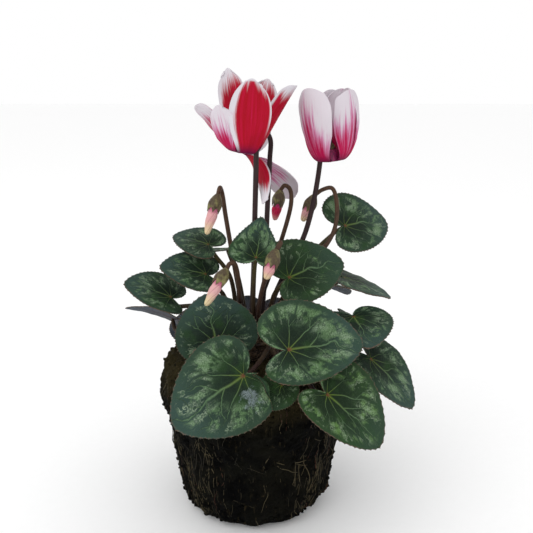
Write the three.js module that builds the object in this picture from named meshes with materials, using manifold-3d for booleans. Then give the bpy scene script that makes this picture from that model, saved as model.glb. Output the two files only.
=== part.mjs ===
import * as THREE from "three";
import { mergeVertices } from "three/addons/utils/BufferGeometryUtils.js";
import Module from "manifold-3d";

// A florist's cyclamen lifted out of its nursery pot, in millimetres, +Z up. The origin is the middle of
// the flat bottom of the root ball, and the plant's front looks towards -Y.

const clearance = 0.3; // between pieces that touch

// Root ball, cast by the pot it grew in: a slightly tapered plug with a wider collar
const ballFootRadius = 41.5;
const ballWaistRadius = 46;
const ballCollarRadius = 50.5;
const ballHeight = 88;
const ballRestRadius = 31; // the flat that it stands on
const ballColumns = 56;
const ballLump = 1.5; // coarse lumps of peat
const ballRootRidge = 0.7; // roots matted down the side

// Tuber, half buried in the middle of the soil
const tuberRadius = 18;
const tuberHalfHeight = 10;
const tuberCentreHeight = 89.5;

// Leaves
const bladeThickness = 0.9;
const bladeTeeth = 18; // round the margin of one leaf
const toothDepth = 0.03; // of the leaf's length
const notchDepth = 0.06; // from the leaf stalk's end to the bottom of the notch, of the leaf's length
const leafStalkRadius = 1.15;
const leafNeck = 7; // the last stretch of the leaf stalk, which bends up into the blade

// Flowers
const flowerStalkRadius = 1.3;
const mouthRadius = 4.4; // of the corolla tube, whose mouth looks down
const tubeHeight = 6.6;
const hookShoulder = 9.5; // where the hook starts to turn, over the mouth
const petalThickness = 0.8;
const petalSpacing = 66; // degrees, which leaves room for the stalk between two of the five

// Buds
const budStalkRadius = 1.15;
const budRadius = 2.7;
const calyxLength = 8.5;
const calyxRadius = 3.5;

const wasm = await Module();
wasm.setup();

const up = new THREE.Vector3(0, 0, 1);
const radians = THREE.MathUtils.degToRad;
const vector = (p) => new THREE.Vector3(...p);

function solidOf(geometry) {
  const bare = geometry.clone();
  for (const name of ["normal", "uv"]) {
    bare.deleteAttribute(name);
  }
  const merged = mergeVertices(bare, 1e-4);
  return new wasm.Manifold(
    new wasm.Mesh({
      numProp: 3,
      vertProperties: merged.attributes.position.array,
      triVerts: new Uint32Array(merged.index.array),
    }),
  );
}

function geometryOf(solid) {
  const mesh = solid.getMesh();
  const geometry = new THREE.BufferGeometry();
  geometry.setAttribute("position", new THREE.BufferAttribute(mesh.vertProperties, 3));
  geometry.setIndex(new THREE.BufferAttribute(mesh.triVerts, 1));
  geometry.computeVertexNormals();
  return geometry;
}

function piece(name, solid, material) {
  const mesh = new THREE.Mesh(geometryOf(solid), material);
  mesh.name = name;
  return mesh;
}

// A route through its points, stepped evenly from each point to the next, so a tight hook gets short steps
class Route extends THREE.CatmullRomCurve3 {
  getUtoTmapping(u) {
    return u;
  }
}

function tube(points, radius, sides, stepsBetween) {
  const section = new THREE.Shape();
  for (let k = 0; k < sides; k++) {
    const a = (2 * Math.PI * k) / sides;
    section[k ? "lineTo" : "moveTo"](radius * Math.cos(a), radius * Math.sin(a));
  }
  const steps = (points.length - 1) * stepsBetween;
  return solidOf(
    new THREE.ExtrudeGeometry(section, { steps, extrudePath: new Route(points), bevelEnabled: false }),
  );
}

function turned(profile, sides) {
  return new THREE.LatheGeometry(
    profile.map(([r, z]) => new THREE.Vector2(r, z)),
    sides,
  ).rotateX(Math.PI / 2);
}

// A thin closed blade: the same triangles on both faces, joined by a rim along the boundary
function blade(topPoints, bottomPoints, triangles, boundary) {
  const n = topPoints.length;
  const index = [];
  for (const [a, b, c] of triangles) {
    index.push(a, b, c, n + a, n + c, n + b);
  }
  boundary.forEach((a, k) => {
    const b = boundary[(k + 1) % boundary.length];
    index.push(a, n + a, b, b, n + a, n + b);
  });
  const geometry = new THREE.BufferGeometry().setFromPoints([...topPoints, ...bottomPoints]);
  geometry.setIndex(index);
  return solidOf(geometry);
}

// Root ball
function ballRelief(angle, z) {
  const lumps =
    Math.sin(3 * angle + 0.05 * z) +
    0.7 * Math.sin(5 * angle - 0.09 * z + 1.3) +
    0.6 * Math.sin(9 * angle + 0.16 * z + 4.1) +
    0.5 * Math.sin(0.21 * z + 2 * angle);
  const ridges = Math.sin(16 * angle + 1.6 * Math.sin(0.11 * z + 3 * angle));
  return (ballLump * lumps) / 2.8 + ballRootRidge * ridges;
}

function rootBall(tuberBed) {
  const profile = [
    [0, 0],
    [ballRestRadius, 0],
    [ballFootRadius - 4.5, 2.5],
    [ballFootRadius - 0.5, 7],
    [ballFootRadius + 1.4, 13],
    [ballFootRadius + 2.6, 22],
    [ballWaistRadius - 1, 32],
    [ballWaistRadius - 0.2, 41],
    [ballWaistRadius + 0.8, 48],
    [ballCollarRadius - 2, 55],
    [ballCollarRadius - 0.5, 62],
    [ballCollarRadius, 70],
    [ballCollarRadius - 0.8, 77],
    [ballCollarRadius - 3.5, ballHeight - 5],
    [ballCollarRadius - 8, ballHeight - 2],
    [30, ballHeight - 0.8],
    [0, ballHeight],
  ];
  const geometry = turned(profile, ballColumns);
  const at = geometry.attributes.position;
  for (let i = 0; i < at.count; i++) {
    const [x, y, z] = [at.getX(i), at.getY(i), at.getZ(i)];
    const r = Math.hypot(x, y);
    const angle = Math.atan2(y, x);
    const onSide = THREE.MathUtils.smoothstep(r, 20, ballFootRadius - 1) * (z > 0 ? 1 : 0);
    const grown = r + onSide * ballRelief(angle, z);
    at.setX(i, grown * Math.cos(angle));
    at.setY(i, grown * Math.sin(angle));
    const onTop = z > ballHeight - 3 && r > 1 ? 1 : 0;
    at.setZ(i, z + onTop * 0.8 * Math.sin(7 * angle + 0.2 * r));
  }
  return solidOf(geometry).subtract(tuberBed);
}

// Tuber, and the bed it lies in
function tuber(grow) {
  const rows = 9;
  const profile = [];
  for (let k = 0; k <= rows; k++) {
    const a = (Math.PI * k) / rows - Math.PI / 2;
    profile.push([(tuberRadius + grow) * Math.cos(a), (tuberHalfHeight + grow) * Math.sin(a)]);
  }
  profile[0][0] = 0;
  profile[rows][0] = 0;
  return solidOf(turned(profile, 20).translate(0, 0, tuberCentreHeight));
}

// A point just inside the tuber's crown, from which a stalk rises
function footAt([radius, degrees]) {
  const a = radians(degrees);
  const z = tuberCentreHeight + tuberHalfHeight * Math.sqrt(1 - (radius / tuberRadius) ** 2);
  return new THREE.Vector3(radius * Math.cos(a), radius * Math.sin(a), z - 1.5);
}

// Leaf outline: how far the margin lies from the leaf stalk's end, at an angle from the tip
function marginRadius(angle, leaf) {
  const a = Math.abs(angle);
  const body = 0.57 + 0.08 * Math.cos(a) + 0.45 * Math.exp(-Math.hypot(a, 0.15) / 0.6);
  const toNotch = (Math.PI - a) / radians(leaf.notch);
  return body * (1 - Math.exp(-(toNotch ** 2))) + notchDepth * (a / Math.PI) ** 8;
}

// A point of the blade's upper face in the leaf's own frame: tip along X, face along Z
function bladePoint(leaf, length, angle, share) {
  const odd = Math.round(((angle / Math.PI + 1) * bladeTeeth) % 2) === 1;
  const cut = share === 1 && odd ? 1 - toothDepth : 1;
  const r = marginRadius(angle, leaf) * share * cut;
  const x = r * Math.cos(angle);
  const narrowed = 1 - leaf.taper * Math.max(x, 0);
  const y = r * Math.sin(angle) * leaf.width[angle > 0 ? 0 : 1] * narrowed;
  const z =
    leaf.cup * r * r +
    leaf.fold * Math.abs(y) +
    leaf.wave * share * share * Math.sin(leaf.waves * angle + leaf.phase) -
    leaf.droop * Math.max(x, 0) ** 2;
  return new THREE.Vector3(x, y, z).multiplyScalar(length);
}

function leafBlade(leaf, length) {
  const rings = [
    { count: 2 * bladeTeeth, share: 1 },
    { count: bladeTeeth, share: 0.7 },
    { count: bladeTeeth / 2, share: 0.36 },
  ];
  const points = [];
  const starts = [];
  for (const { count, share } of rings) {
    starts.push(points.length);
    for (let i = 0; i < count; i++) {
      points.push(bladePoint(leaf, length, (2 * Math.PI * i) / count - Math.PI, share));
    }
  }
  const centre = points.length;
  points.push(new THREE.Vector3(0, 0, 0));
  const triangles = [];
  for (let k = 0; k < 2; k++) {
    const inner = rings[k + 1].count;
    for (let i = 0; i < inner; i++) {
      const j = (i + 1) % inner;
      const [a, b, c] = [2 * i, 2 * i + 1, (2 * i + 2) % (2 * inner)].map((v) => starts[k] + v);
      const [p, q] = [starts[k + 1] + i, starts[k + 1] + j];
      triangles.push([a, b, p], [b, q, p], [b, c, q]);
    }
  }
  for (let i = 0; i < rings[2].count; i++) {
    triangles.push([starts[2] + i, starts[2] + ((i + 1) % rings[2].count), centre]);
  }
  const bottom = points.map((p) => p.clone().addScaledVector(up, -bladeThickness));
  const boundary = points.slice(0, rings[0].count).map((_, i) => i);
  return blade(points, bottom, triangles, boundary);
}

function leafSolid(leaf, tuberBed) {
  const at = vector(leaf.at);
  const along = vector(leaf.tip).sub(at);
  const length = along.length();
  along.normalize();
  const face = vector(leaf.faces);
  face.addScaledVector(along, -face.dot(along)).normalize();
  const across = new THREE.Vector3().crossVectors(face, along);
  const place = new THREE.Matrix4().makeBasis(along, across, face).setPosition(at);

  const arrive = radians(leaf.arrive);
  const neck = at.clone();
  neck.addScaledVector(along, -leafNeck * Math.cos(arrive));
  neck.addScaledVector(face, -leafNeck * Math.sin(arrive));
  const foot = footAt(leaf.foot);
  const middle = foot.clone().lerp(neck, 0.5);
  middle.add(vector(leaf.sway)).addScaledVector(up, leaf.arch);
  const end = at.clone().addScaledVector(face, -0.45);
  const stalk = tube([foot, middle, neck, end], leafStalkRadius, 5, 2);
  return leafBlade(leaf, length).transform(place.elements).add(stalk.subtract(tuberBed));
}

// Leaves, front ones first. Each has the point where its stalk joins the blade, its tip, the way its face
// looks, and its stalk's foot on the tuber as a radius and an angle. Widths are of the left and right half.
const usualLeaf = {
  width: [0.9, 0.9], taper: 0, notch: 34, cup: -0.12, fold: 0.08, wave: 0.02, waves: 3, droop: 0.05,
  arrive: 50, arch: 8, sway: [0, 0, 0],
};
const leaves = [
  { at: [-4, -50, 94], tip: [-36, -66, 76], faces: [0.21, -0.78, 0.58], foot: [14, -84],
    width: [0.93, 0.97], notch: 48, arrive: 25, arch: 6, sway: [7, 0, 0] },
  { at: [-19, -24, 100], tip: [-23, -17, 124], faces: [0.1, -0.93, 0.35], foot: [13, -140],
    width: [1.28, 1.45], arch: 4 },
  { at: [17, -48, 106], tip: [54, -42, 110], faces: [0.12, -0.72, 0.68], foot: [9, -66],
    width: [1.08, 0.76], notch: 30, arch: 10 },
  { at: [35, -54, 86], tip: [64, -60, 64], faces: [0.27, -0.7, 0.66], foot: [14, -38],
    width: [1.02, 0.68], notch: 36 },
  { at: [14, -48.5, 88.5], tip: [9, -53.5, 77.5], faces: [0.05, -0.85, 0.5], foot: [14, -62],
    width: [1.15, 1.2], arch: 3 },
  { at: [18, -13, 131], tip: [47, -3, 140], faces: [-0.06, -0.7, 0.71], foot: [8, -30],
    width: [1.15, 0.85], notch: 42 },
  { at: [49, 15, 152], tip: [75, 25, 155], faces: [0.2, -0.68, 0.71], foot: [8, 30], width: [1.2, 1] },
  { at: [1.5, -19, 143], tip: [4.5, -14, 163], faces: [0.04, -0.92, 0.4], foot: [7, -95],
    width: [1.25, 0.98], taper: 0.5, notch: 60 },
  { at: [-25, -3, 130], tip: [-47, -9, 138], faces: [0.3, -0.5, 0.81], foot: [10, 190],
    width: [0.8, 1] },
  { at: [-43, -8, 119], tip: [-64, -14, 131], faces: [0.4, -0.5, 0.77], foot: [13, 195],
    width: [0.7, 0.9] },
  { at: [59, -28, 93], tip: [83, -38, 74], faces: [0.4, -0.5, 0.76], foot: [13, -20], width: [0.9, 0.7] },
  { at: [51, -18, 112], tip: [58, -38, 106], faces: [0.1, -0.3, 0.95], foot: [10, -12],
    width: [1.45, 1.5] },
  { at: [48, 3, 126.5], tip: [74, 0, 120], faces: [0.25, -0.02, 0.97], foot: [11, 8] },
  { at: [34, 30, 118], tip: [56, 48, 108], faces: [0.4, 0.35, 0.85], foot: [13, 38] },
  { at: [12, 40, 128], tip: [18, 70, 120], faces: [0.1, 0.5, 0.86], foot: [9, 75] },
  { at: [-16, 36, 134], tip: [-30, 62, 130], faces: [-0.2, 0.45, 0.87], foot: [8, 120] },
  { at: [-38, 22, 122], tip: [-62, 38, 114], faces: [-0.4, 0.3, 0.86], foot: [12, 145] },
  { at: [-44, 2, 104], tip: [-68, 8, 112], faces: [-0.25, 0.5, 0.83], foot: [14, 172] },
  { at: [-34, 42, 94], tip: [-48, 58, 72], faces: [-0.45, 0.55, 0.7], foot: [14, 128] },
  { at: [4, 54, 94], tip: [4, 74, 72], faces: [0.05, 0.72, 0.68], foot: [14, 92] },
  { at: [38, 38, 92], tip: [54, 50, 70], faces: [0.5, 0.5, 0.7], foot: [14, 58] },
  { at: [56, 12, 98], tip: [80, 14, 80], faces: [0.55, 0.1, 0.83], foot: [14, 14] },
  { at: [-24, 5, 144], tip: [-43, 12, 150.5], faces: [0.15, -0.45, 0.88], foot: [9.5, 160],
    width: [0.9, 1], sway: [2, 3, 0] },
];

// Petal: its middle line leaves the mouth outwards and down, folds over and rises at its lean from upright
const petalRows = [0, 0.08, 0.19, 0.38, 0.6, 0.82, 1];
const petalColumns = [-1, -0.5, 0, 0.5, 1];
const foldAngle = 130; // degrees from upright, where the petal leaves the mouth

function petalHalfWidth(petal, share) {
  const base = 0.3;
  const { widest } = petal;
  if (share < widest) {
    return (petal.width / 2) * (base + (1 - base) * Math.sin((Math.PI / 2) * (share / widest)));
  }
  const narrowing = (0.88 - petal.blunt) * ((share - widest) / (1 - widest)) ** 2;
  return (petal.width / 2) * Math.sqrt(1 - narrowing);
}

function petalSolid(petal) {
  const middle = [];
  let r = mouthRadius - 0.6;
  let z = 0.9;
  let last = 0;
  const finer = 8;
  for (const share of petalRows) {
    for (let k = 1; k <= finer; k++) {
      const s = last + ((share - last) * k) / finer;
      const folded = (foldAngle - petal.lean) * Math.exp(-s / 0.07);
      const angle = radians(petal.lean + petal.bend * s + folded);
      const step = (petal.length * (share - last)) / finer;
      r += step * Math.sin(angle);
      z += step * Math.cos(angle);
    }
    const folded = (foldAngle - petal.lean) * Math.exp(-share / 0.07);
    middle.push({ r, z, angle: radians(petal.lean + petal.bend * share + folded), share });
    last = share;
  }
  const top = [];
  const bottom = [];
  for (const { r: out, z: high, angle, share } of middle) {
    const along = new THREE.Vector3(Math.sin(angle), 0, Math.cos(angle));
    const twist = radians(petal.twist * Math.min(1, share / 0.35));
    const side = new THREE.Vector3(0, 1, 0).applyAxisAngle(along, twist);
    const outward = new THREE.Vector3().crossVectors(side, along);
    const half = petalHalfWidth(petal, share);
    for (const u of petalColumns) {
      const p = new THREE.Vector3(out, 0, high);
      p.addScaledVector(side, u * half);
      p.addScaledVector(outward, -petal.cup * Math.min(1, share / 0.4) * u * u * half);
      p.addScaledVector(along, -0.07 * petal.length * share ** 3 * u * u);
      top.push(p.clone().addScaledVector(outward, petalThickness / 2));
      bottom.push(p.clone().addScaledVector(outward, -petalThickness / 2));
    }
  }
  const columns = petalColumns.length;
  const rows = petalRows.length;
  const triangles = [];
  for (let i = 0; i + 1 < rows; i++) {
    for (let j = 0; j + 1 < columns; j++) {
      const a = i * columns + j;
      triangles.push([a, a + 1, a + columns + 1], [a, a + columns + 1, a + columns]);
    }
  }
  const boundary = [];
  for (let j = 0; j + 1 < columns; j++) {
    boundary.push(j);
  }
  for (let i = 0; i + 1 < rows; i++) {
    boundary.push(i * columns + columns - 1);
  }
  for (let j = columns - 1; j > 0; j--) {
    boundary.push((rows - 1) * columns + j);
  }
  for (let i = rows - 1; i > 0; i--) {
    boundary.push(i * columns);
  }
  const turn = new THREE.Matrix4().makeRotationZ(radians(petal.turn));
  return blade(top, bottom, triangles, boundary).transform(turn.elements);
}

// Corolla: the short tube with its mouth down, and five petals folded up round it
function corolla(flower) {
  const tubeProfile = [
    [0, 3.2],
    [2.4, 2.6],
    [3, 0],
    [mouthRadius, 0.2],
    [mouthRadius, 2.6],
    [mouthRadius - 0.6, 4.8],
    [2, tubeHeight],
    [0, tubeHeight],
  ];
  let solid = solidOf(turned(tubeProfile, 8));
  flower.petals.forEach((petal, k) => {
    const whole = { ...usualPetal, ...petal };
    const turn = flower.stalkSide + petalSpacing * (k + 0.5) + (360 - 5 * petalSpacing) / 2;
    solid = solid.add(petalSolid({ ...whole, turn: turn + whole.shift }));
  });
  return solid.transform(flowerPlace(flower).elements);
}

function flowerPlace(flower) {
  const tilt = new THREE.Quaternion().setFromUnitVectors(up, vector(flower.axis).normalize());
  return new THREE.Matrix4().compose(vector(flower.mouth), tilt, new THREE.Vector3(1, 1, 1));
}

// Flower stalk: up from the tuber, past the mouth's rim, over in a hook and down into the calyx
function flowerStalk(flower, tuberBed) {
  const place = flowerPlace(flower);
  const side = radians(flower.stalkSide);
  const end = new THREE.Vector3(0, 0, hookShoulder).applyMatrix4(place);
  const outward = new THREE.Vector3(Math.cos(side), Math.sin(side), 0);
  const shoulder = end.clone().addScaledVector(outward, flower.reach);
  const apex = end.clone().lerp(shoulder, 0.5).addScaledVector(up, flower.reach / 2);
  const below = shoulder.clone().addScaledVector(up, -hookShoulder - 2);
  const inside = new THREE.Vector3(0, 0, hookShoulder - 1.5).applyMatrix4(place);
  const route = [footAt(flower.foot), ...flower.by.map(vector), below, shoulder, apex, end, inside];
  const calyxProfile = [
    [0, tubeHeight + clearance],
    [2.1, tubeHeight + clearance],
    [2.3, tubeHeight + 1],
    [1.7, hookShoulder - 0.6],
    [0, hookShoulder],
  ];
  const calyx = solidOf(turned(calyxProfile, 8)).transform(place.elements);
  return tube(route, flowerStalkRadius, 6, 2).subtract(tuberBed).add(calyx);
}

// Petals go round from the stalk's side. They lean and bend from upright, twist, and shift round, by
// degrees, and are widest at a share of their length. A blunt petal has a broad tip.
const usualPetal = {
  length: 38, width: 18, widest: 0.58, blunt: 0, lean: 12, bend: 4, twist: 20, cup: 0.18, shift: 0,
};
const flowers = [
  { mouth: [-4.6, -10, 194], axis: [0.08, -0.04, 1], stalkSide: -27, reach: 6.2, foot: [3.5, -120],
    by: [[0, -6, 130], [0.8, -8.4, 160]],
    petals: [
      { length: 40, width: 19, lean: 24, bend: 6, twist: -22, cup: 0.7 },
      { length: 40, width: 17, lean: 20, twist: 10, shift: -22 },
      { length: 43, width: 13.5, lean: 5, bend: 25, twist: -42, cup: 0.1, shift: -31, widest: 0.7 },
      { length: 25, width: 15, lean: 26, bend: -10, twist: 34, cup: 0.25, shift: -12, widest: 0.62 },
      { length: 37, width: 20, lean: 4, bend: -8, twist: -16, cup: 0.05, shift: -1 },
    ] },
  { mouth: [-6, 14, 191], axis: [0.5, 0.12, 0.86], stalkSide: -15, reach: 10, foot: [3.5, 0],
    by: [[6, 4, 130], [7, 5, 160]],
    petals: [
      { length: 41, width: 13, lean: 82, bend: 30, twist: 108, cup: 0.4, shift: -2, widest: 0.74 },
      { length: 30, lean: 30, shift: -10 },
      { length: 31, width: 15, blunt: 0.2, lean: 58, bend: 24, twist: 30, shift: 11 },
      { length: 23, width: 14, lean: 38, twist: -100, cup: 0.1, shift: -34 },
      { length: 36, width: 11, lean: 88, bend: 57, twist: -72, cup: 0.3, shift: 12 },
    ] },
  { mouth: [40, 6, 188], axis: [-0.1, 0, 1], stalkSide: 132, reach: 6.8, foot: [5, 30],
    by: [[13, 6, 120], [27.5, 9, 150]],
    petals: [
      { length: 41, width: 21.5, lean: 30, bend: -40, twist: -4, cup: 0.4, shift: 46, widest: 0.7,
        blunt: 0.45 },
      { width: 17.5, lean: 30, bend: -40, twist: -18, cup: 0.45, shift: 80, widest: 0.66, blunt: 0.4 },
      { width: 17, blunt: 0.3, lean: 22, bend: -32, cup: 0.3, shift: 58 },
      { width: 18, blunt: 0.3, lean: 24, bend: -32, cup: 0.3, shift: 30 },
      { width: 17, blunt: 0.3, lean: 24, bend: -32, cup: 0.35, shift: -8 },
    ] },
];

// Bud: petals still furled in a spiral round a point, hanging from a calyx at the end of a hooked stalk
function budPlace(bud) {
  const hang = vector(bud.tip).sub(vector(bud.end)).normalize();
  const turn = new THREE.Quaternion().setFromUnitVectors(up, hang);
  return new THREE.Matrix4().compose(vector(bud.end), turn, new THREE.Vector3(1, 1, 1));
}

function budSolid(bud) {
  const profile = [
    [0, 0],
    [budRadius * 0.8, 0],
    [budRadius, bud.length * 0.3],
    [budRadius * 0.92, bud.length * 0.55],
    [budRadius * 0.6, bud.length * 0.8],
    [budRadius * 0.22, bud.length * 0.96],
    [0, bud.length],
  ];
  const geometry = turned(profile, 10);
  const at = geometry.attributes.position;
  for (let i = 0; i < at.count; i++) {
    const angle = Math.atan2(at.getY(i), at.getX(i));
    const r = Math.hypot(at.getX(i), at.getY(i)) * (1 + 0.14 * Math.cos(5 * angle));
    const turn = angle + radians(12) * at.getZ(i);
    at.setX(i, r * Math.cos(turn));
    at.setY(i, r * Math.sin(turn));
  }
  geometry.translate(0, 0, calyxLength);
  return solidOf(geometry).transform(budPlace(bud).elements);
}

function budStalk(bud, tuberBed) {
  const profile = [
    [0, -0.6],
    [budStalkRadius + 0.1, 0],
    [calyxRadius * 0.75, calyxLength * 0.25],
    [calyxRadius, calyxLength * 0.6],
    [calyxRadius * 0.9, calyxLength - clearance],
    [0, calyxLength - clearance],
  ];
  const calyx = solidOf(turned(profile, 8)).transform(budPlace(bud).elements);
  const route = [footAt(bud.foot), ...bud.by.map(vector), vector(bud.end)];
  return tube(route, budStalkRadius, 5, 2).subtract(tuberBed).add(calyx);
}

const buds = [
  { foot: [6, -130], by: [[-7, -9, 114], [-8, -18.5, 136], [-9.5, -21.5, 141], [-11.5, -22.3, 140.8]],
    end: [-12.8, -23, 138.4], tip: [-23.8, -31, 120.6], length: 12.5 },
  { foot: [6, -75], by: [[3.5, -13, 120], [9.5, -24, 144], [13.4, -28.5, 152.6], [13.2, -31, 153.4]],
    end: [11.4, -32, 150.4], tip: [5.5, -38, 134.8], length: 6.5 },
  { foot: [6, 140], by: [[-9, 2, 125], [-14.5, 2, 160], [-16, 0.5, 172], [-16.8, -3.5, 175.6]],
    end: [-17.6, -7, 172.6], tip: [-23.6, -13, 152.8], length: 12.5 },
  { foot: [7, 110], by: [[10, 12, 130], [20, 16, 165], [19, 17, 172], [16.5, 17.5, 173.5]],
    end: [14.2, 17.5, 171], tip: [11, 18, 154], length: 8.5 },
  { foot: [8, 5], by: [[23, 1, 124], [42.5, 9.5, 150], [44, 14, 166], [41.5, 15.5, 172.4], [36.5, 16, 171.4]],
    end: [32.4, 16, 168.4], tip: [26, 15.5, 154], length: 7 },
];

const matte = (color, roughness) => new THREE.MeshStandardMaterial({ color, roughness, metalness: 0 });
const materials = {
  soil: matte(0x1d1813, 0.95),
  tuber: matte(0x4a3826, 0.9),
  leaf: matte(0x2f4a33, 0.5),
  flower: matte(0xb8143c, 0.55),
  flowerStalk: matte(0x4a2a30, 0.5),
  bud: matte(0xe39aa6, 0.55),
  budStalk: matte(0x6b4a35, 0.55),
};

const two = (k) => String(k + 1).padStart(2, "0");
const tuberBed = tuber(clearance);
const plant = new THREE.Group();
plant.name = "potted_cyclamen";
plant.add(piece("root_ball", rootBall(tuberBed), materials.soil));
plant.add(piece("tuber", tuber(0), materials.tuber));
leaves.forEach((leaf, k) => {
  const whole = { ...usualLeaf, phase: 1.7 * k, ...leaf };
  plant.add(piece(`leaf_${two(k)}`, leafSolid(whole, tuberBed), materials.leaf));
});
flowers.forEach((flower, k) => {
  plant.add(piece(`flower_stalk_${k + 1}`, flowerStalk(flower, tuberBed), materials.flowerStalk));
  plant.add(piece(`flower_${k + 1}`, corolla(flower), materials.flower));
});
buds.forEach((bud, k) => {
  plant.add(piece(`bud_stalk_${k + 1}`, budStalk(bud, tuberBed), materials.budStalk));
  plant.add(piece(`bud_${k + 1}`, budSolid(bud), materials.bud));
});

export default plant;
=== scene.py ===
import math
import random

import bmesh
import bpy
from mathutils import Matrix, Vector, noise


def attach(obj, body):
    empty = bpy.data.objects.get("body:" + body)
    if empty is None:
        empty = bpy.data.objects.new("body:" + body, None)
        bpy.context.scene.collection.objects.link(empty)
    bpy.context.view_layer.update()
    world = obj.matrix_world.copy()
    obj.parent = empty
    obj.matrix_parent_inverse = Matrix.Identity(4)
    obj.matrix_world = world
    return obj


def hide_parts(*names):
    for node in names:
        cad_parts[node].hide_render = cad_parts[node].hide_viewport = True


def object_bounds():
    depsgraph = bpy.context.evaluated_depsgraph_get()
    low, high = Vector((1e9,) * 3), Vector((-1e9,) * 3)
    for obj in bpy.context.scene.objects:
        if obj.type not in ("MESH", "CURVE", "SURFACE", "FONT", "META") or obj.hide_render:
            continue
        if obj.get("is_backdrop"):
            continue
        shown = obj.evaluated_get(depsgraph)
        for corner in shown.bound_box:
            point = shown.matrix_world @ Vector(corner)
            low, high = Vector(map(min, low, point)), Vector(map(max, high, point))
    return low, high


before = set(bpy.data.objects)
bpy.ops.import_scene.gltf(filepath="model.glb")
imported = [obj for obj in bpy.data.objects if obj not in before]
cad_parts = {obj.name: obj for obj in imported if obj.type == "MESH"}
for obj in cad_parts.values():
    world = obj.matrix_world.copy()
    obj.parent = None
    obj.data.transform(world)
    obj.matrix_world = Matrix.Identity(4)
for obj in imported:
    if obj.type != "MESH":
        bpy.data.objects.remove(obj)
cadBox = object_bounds()

# Sizes and places are in millimetres; a piece becomes metres when it is finished
mm = 0.001
up = Vector((0, 0, 1))
radians = math.radians

# Camera at the photograph's viewing angle
photoView = {"place": (6.7, -345, 229), "pitch": 15.5, "lens": 45.93}

camera = bpy.data.objects.new("camera", bpy.data.cameras.new("camera"))
camera.data.sensor_width = 36
camera.data.lens = photoView["lens"]
camera.location = Vector(photoView["place"]) * mm
camera.rotation_euler = (radians(90 - photoView["pitch"]), 0, 0)
bpy.context.scene.collection.objects.link(camera)
bpy.context.scene.camera = camera
print("camera set")


# Shader maths: a wire is one socket of a material, and sums of wires add their own nodes
class Wire:
    def __init__(self, tree, socket=None):
        self.tree = tree
        self.socket = socket

    def node(self, kind, settings=None, values=None, out=0):
        made = self.tree.nodes.new("ShaderNode" + kind)
        for name, value in (settings or {}).items():
            setattr(made, name, value)
        for name, value in (values or {}).items():
            if isinstance(value, Wire):
                self.tree.links.new(value.socket, made.inputs[name])
            else:
                made.inputs[name].default_value = value
        return Wire(self.tree, made.outputs[out] if made.outputs else None)

    def parts(self):  # x, y and z of a vector
        split = self.node("SeparateXYZ", values={0: self}).socket.node
        return [Wire(self.tree, socket) for socket in split.outputs]

    def place(self, x, y, z):
        return self.node("CombineXYZ", values={0: x, 1: y, 2: z})

    def maths(self, operation, a, b=0.0):
        return self.node("Math", {"operation": operation}, {0: a, 1: b})

    def __add__(self, other):
        return self.maths("ADD", self, other)

    __radd__ = __add__

    def __sub__(self, other):
        return self.maths("SUBTRACT", self, other)

    def __rsub__(self, other):
        return self.maths("SUBTRACT", other, self)

    def __mul__(self, other):
        return self.maths("MULTIPLY", self, other)

    __rmul__ = __mul__

    def __abs__(self):
        return self.maths("ABSOLUTE", self)

    def most(self, other):
        return self.maths("MAXIMUM", self, other)

    def least(self, other):
        return self.maths("MINIMUM", self, other)

    def rise(self, low, high):  # eases from 0 at low to 1 at high
        settings = {"interpolation_type": "SMOOTHSTEP"}
        return self.node("MapRange", settings, {"Value": self, "From Min": low, "From Max": high})

    def near(self, width):  # 1 on the line, 0 from its width on
        return 1 - abs(self).rise(0.0, width)

    def mix(self, first, second):  # the wire is the share of the second colour
        return self.node("Mix", {"data_type": "RGBA"}, {0: self, 6: first, 7: second}, 2)

    def cloud(self, scale, detail, rough):  # noise round 0.5 on this vector
        values = {"Vector": self, "Scale": scale, "Detail": detail, "Roughness": rough}
        return self.node("TexNoise", {}, values)

    def stretch(self, x, y, z):
        return self.node("Mapping", {}, {"Vector": self, "Scale": (x, y, z)})


def colour(red, green, blue):  # screen values of 0 to 255
    def linear(v):
        v /= 255
        return v / 12.92 if v <= 0.04045 else ((v + 0.055) / 1.055) ** 2.4

    return (linear(red), linear(green), linear(blue), 1)


def newMaterial(name):
    material = bpy.data.materials.new(name)
    material.use_nodes = True
    material.node_tree.nodes.clear()
    return material, Wire(material.node_tree)


def finishMaterial(wire, base, roughness, height, relief, constants=None):
    bump = wire.node("Bump", {}, {"Height": height, "Distance": relief * mm, "Strength": 1.0})
    values = {"Base Color": base, "Roughness": roughness, "Normal": bump, **(constants or {})}
    skin = wire.node("BsdfPrincipled", {}, values)
    wire.node("OutputMaterial", {}, {"Surface": skin})


def objectPlace(wire):  # metres, so a scale of 1000 is one pattern in a millimetre
    return wire.node("TexCoord", {}, {}, "Object")


def stored(wire, name, out="Fac"):  # what a vertex of the piece carries under this name
    return wire.node("Attribute", {"attribute_name": name}, {}, out)


# Routes, sweeps and finishing
def routeThrough(points, stepsBetween):  # a centripetal curve, as the solids' stalks follow
    ends = [2 * points[0] - points[1], *points, 2 * points[-1] - points[-2]]
    route = []
    for k in range(1, len(ends) - 2):
        p0, p1, p2, p3 = ends[k - 1 : k + 3]
        d0, d1, d2 = (max((b - a).length, 1e-4) ** 0.5 for a, b in ((p0, p1), (p1, p2), (p2, p3)))
        leave = ((p1 - p0) / d0 - (p2 - p0) / (d0 + d1) + (p2 - p1) / d1) * d1
        arrive = ((p2 - p1) / d1 - (p3 - p1) / (d1 + d2) + (p3 - p2) / d2) * d1
        for step in range(stepsBetween):
            t = step / stepsBetween
            ease = (3 * (p2 - p1) - 2 * leave - arrive) * t**2
            route.append(p1 + leave * t + ease + (2 * (p1 - p2) + leave + arrive) * t**3)
    return [*route, points[-1]]


def partsOf(made, kind):  # the faces, edges or vertices that an operator made
    return [part for part in made["geom"] if isinstance(part, kind)]


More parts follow.
